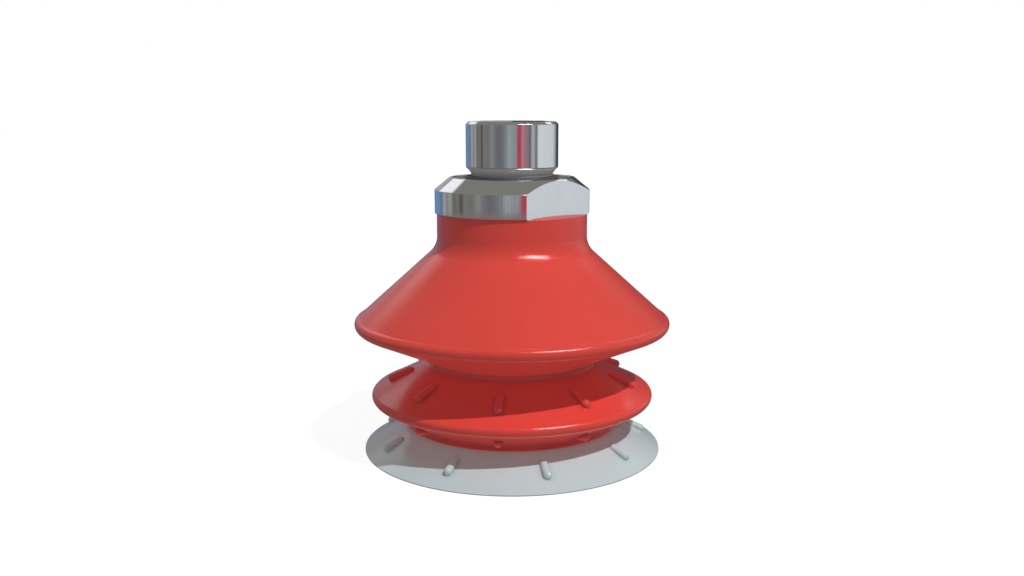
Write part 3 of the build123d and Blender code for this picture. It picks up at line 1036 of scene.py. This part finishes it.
def with_window(world, surround, direction, bearing, rise, size):
    """The surround with a round window in it."""
    bearing, rise = math.radians(bearing), math.radians(rise)
    flat = math.cos(rise)
    dot = node(world, "ShaderNodeVectorMath", operation="DOT_PRODUCT")
    link(world, direction, dot.inputs[0])
    dot.inputs[1].default_value = (flat * math.sin(bearing), -flat * math.cos(bearing), math.sin(rise))
    edge = math.cos(math.radians(size * WINDOW_EDGE))
    core = math.cos(math.radians(size * WINDOW_CORE))
    return blended(world, step_up(world, dot.outputs["Value"], edge, core), surround, (*WINDOW_LIGHT, 1))


def with_softbox(world, surround, bearing, z):
    """The surround with the lamp that the highlights show."""
    rise = maths(world, "MULTIPLY", maths(world, "ARCSINE", z), 180 / math.pi)
    turn = maths(world, "MULTIPLY", bearing, 180 / math.pi)
    aside = maths(world, "DIVIDE", maths(world, "SUBTRACT", turn, SOFTBOX["bearing"]), SOFTBOX["half_width"])
    above = maths(world, "DIVIDE", maths(world, "SUBTRACT", rise, SOFTBOX["rise"]), SOFTBOX["half_height"])
    aside_part = maths(world, "MULTIPLY", aside, aside)
    away = maths(world, "ADD", aside_part, maths(world, "MULTIPLY", above, above))
    return blended(world, step_up(world, away, *SOFTBOX_BLEND), surround, (*SOFTBOX["light"], 1))


def sun(name, towards, strength):
    """Light from far away that gives no highlight of its own."""
    data = bpy.data.lights.new(name, "SUN")
    data.energy = strength
    obj = bpy.data.objects.new(name, data)
    obj.rotation_euler = Vector(towards).to_track_quat("Z", "Y").to_euler()
    obj.visible_glossy = False
    bpy.context.scene.collection.objects.link(obj)
    return data


def lights():
    """Key light, high at the front right, and weak fills without shadows."""
    sun("key", SUN_TOWARDS, SUN_STRENGTH).angle = math.radians(SUN_ANGLE)
    for index, (towards, strength) in enumerate(FILLS):
        sun(f"fill_{index}", towards, strength).use_shadow = False


def floor():
    """Pale floor that glows a little, as a lit studio table does."""
    bpy.ops.mesh.primitive_plane_add(size=FLOOR_SIZE)
    obj = bpy.context.object
    obj.name = "floor"
    material, shader = new_material("pale_floor")
    shader.inputs["Base Color"].default_value = (FLOOR_SHADE, FLOOR_SHADE, FLOOR_SHADE, 1)
    shader.inputs["Roughness"].default_value = 0.9
    shader.inputs["Specular IOR Level"].default_value = 0.0
    shader.inputs["Emission Color"].default_value = (1, 1, 1, 1)
    shader.inputs["Emission Strength"].default_value = FLOOR_GLOW
    dress(obj, material)
    obj.visible_glossy = False
    obj.visible_diffuse = False


def camera():
    """Camera in front, looking slightly down."""
    data = bpy.data.cameras.new("camera")
    data.lens = LENS
    data.sensor_width = SENSOR
    data.clip_start = 0.01
    obj = bpy.data.objects.new("camera", data)
    obj.location = Vector((0, -CAMERA_DISTANCE, CAMERA_HEIGHT)) * MM
    obj.rotation_euler = (math.radians(90 - CAMERA_PITCH), 0, 0)
    bpy.context.scene.collection.objects.link(obj)
    bpy.context.scene.camera = obj


# ---------------------------------------------------------------- assembly


def soft_piece(piece, material, slot, bodies, start_z, end_z, *nodes):
    """A stretch of the bellows, set in place, that stands for CAD nodes."""
    dress(piece, material)
    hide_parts(*nodes)
    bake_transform(piece)


def rigid_piece(piece, material, slot, *nodes):
    """A hard piece that rides on the fitting and stands for CAD nodes."""
    dress(piece, material)
    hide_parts(*nodes)
    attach(piece, "fitting")


def assemble():
    """Makes every piece and joins the hard ones to the fitting."""
    red, grey = "red_polyurethane", "grey_polyurethane"
    soft_piece(
        upper_cone(), RED, red, ("fitting", "upper_rim"), NECK_SHELF_Z, UPPER_OVER[0][1],
        "bellows_neck", "upper_cone_wall", "upper_rim_bead",
    )
    soft_piece(
        upper_return(), RED, red, ("upper_rim", "waist"), UPPER_FOLD_IN[1], WAIST_SPLIT_Z,
        "upper_return_wall", "waist_ring",
    )
    soft_piece(
        lower_cone(), RED, red, ("waist", "lower_rim"), WAIST_SPLIT_Z, LOWER_RIM["z"],
        "lower_cone_wall", "lower_rim_bead",
    )
    soft_piece(
        lower_return(), RED, red, ("lower_rim", "lip_carrier"), LOWER_FOLD_IN[1], LIP_TOP_Z,
        "lower_return_wall", "lip_carrier_ring",
    )
    soft_piece(
        lip(), GREY, grey, ("lip_carrier", "lip"), LIP_TOP_Z, LIP_BLEND_END_Z,
        "lip_wall", "lip_edge",
    )
    rigid_piece(fitting(), NICKEL, "nickel_plate", "fitting_body")
    rigid_piece(woven_mesh(), STEEL, "stainless_steel", "filter_mesh")
    carried = dict(
        thread_seal_ring=SEAL,
        neck_seal_ring=SEAL,
        clamp_screw=NICKEL,
        clamp_washer=STEEL,
        filter_rim=PLASTIC,
        filter_circlip=STEEL,
    )
    for name, material in carried.items():
        dress(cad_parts[name], material)
        smooth(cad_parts[name], CARRIED_SHARP_ANGLE)


assemble()
studio_world()
lights()
floor()
camera()
bpy.context.scene.view_settings.view_transform = "Standard"
